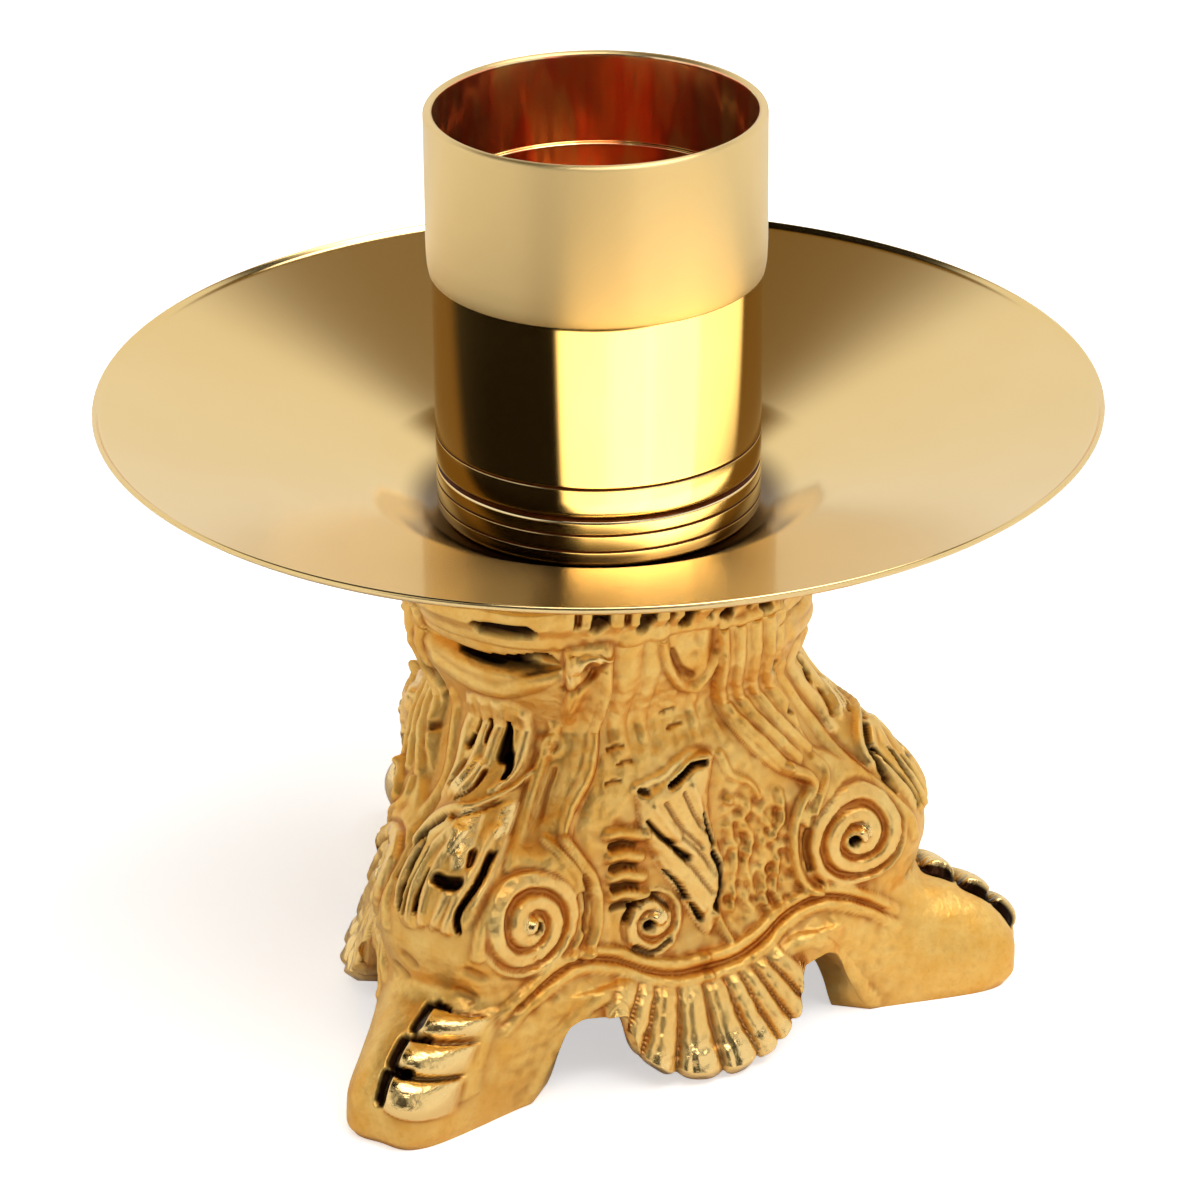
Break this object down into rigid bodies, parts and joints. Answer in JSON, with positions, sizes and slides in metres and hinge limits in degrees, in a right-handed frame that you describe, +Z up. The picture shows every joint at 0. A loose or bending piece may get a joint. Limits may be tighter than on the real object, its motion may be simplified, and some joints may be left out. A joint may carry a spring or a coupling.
{
  "type": "candlestick",
  "caption": "Gilt brass altar candlestick: cast tripod base with scrolls and shells, round drip pan, polished cup with a slip-on ring.",
  "frame": {"origin": "on the floor, at the candle's axis, in the middle of the base", "axes": "+Z up along the candle's axis, -Y out of one face of the base; the feet point to -150, -30 and 90 degrees from +X"},
  "size_m": [0.1268, 0.1268, 0.12],
  "materials": {
    "cast_gilt_brass": "cast, gold plated, high points polished",
    "turned_brass": "turned",
    "satin_gilt_brass": "gold plated, satin",
    "polished_gilt_brass": "gold plated, mirror polished",
    "leather": "pressed",
    "zinc_steel": "zinc plated"
  },
  "bodies": {
    "base": {"base_casting": "cast_gilt_brass", "pan_seat": "turned_brass", "threaded_rod": "zinc_steel", "flat_washer": "zinc_steel", "lock_washer": "zinc_steel", "base_nut": "zinc_steel"},
    "pan": {"drip_pan": "satin_gilt_brass"},
    "washer": {"cup_washer": "leather"},
    "cup": {"candle_cup": "polished_gilt_brass", "cup_bush": "turned_brass"},
    "sleeve": {"cup_sleeve": "satin_gilt_brass"}
  },
  "joints": [
    {"name": "pan_lift", "type": "slide", "parent": "base", "child": "pan", "axis": [0, 0, 1], "range_m": [0, 0.015]},
    {"name": "cup_rise", "type": "slide", "parent": "pan", "child": "washer", "axis": [0, 0, 1], "range_m": [0, 0.00625]},
    {"name": "cup_unscrew", "type": "hinge", "parent": "washer", "child": "cup", "pos_m": [0, 0, 0.067], "axis": [0, 0, 1], "range_deg": [0, 1800]},
    {"name": "sleeve_lift", "type": "slide", "parent": "cup", "child": "sleeve", "axis": [0, 0, 1], "range_m": [0, 0.03]}
  ],
  "couplings": [
    {"joint": "cup_rise", "follows": "cup_unscrew", "m_per_rad": 0.00019894}
  ]
}
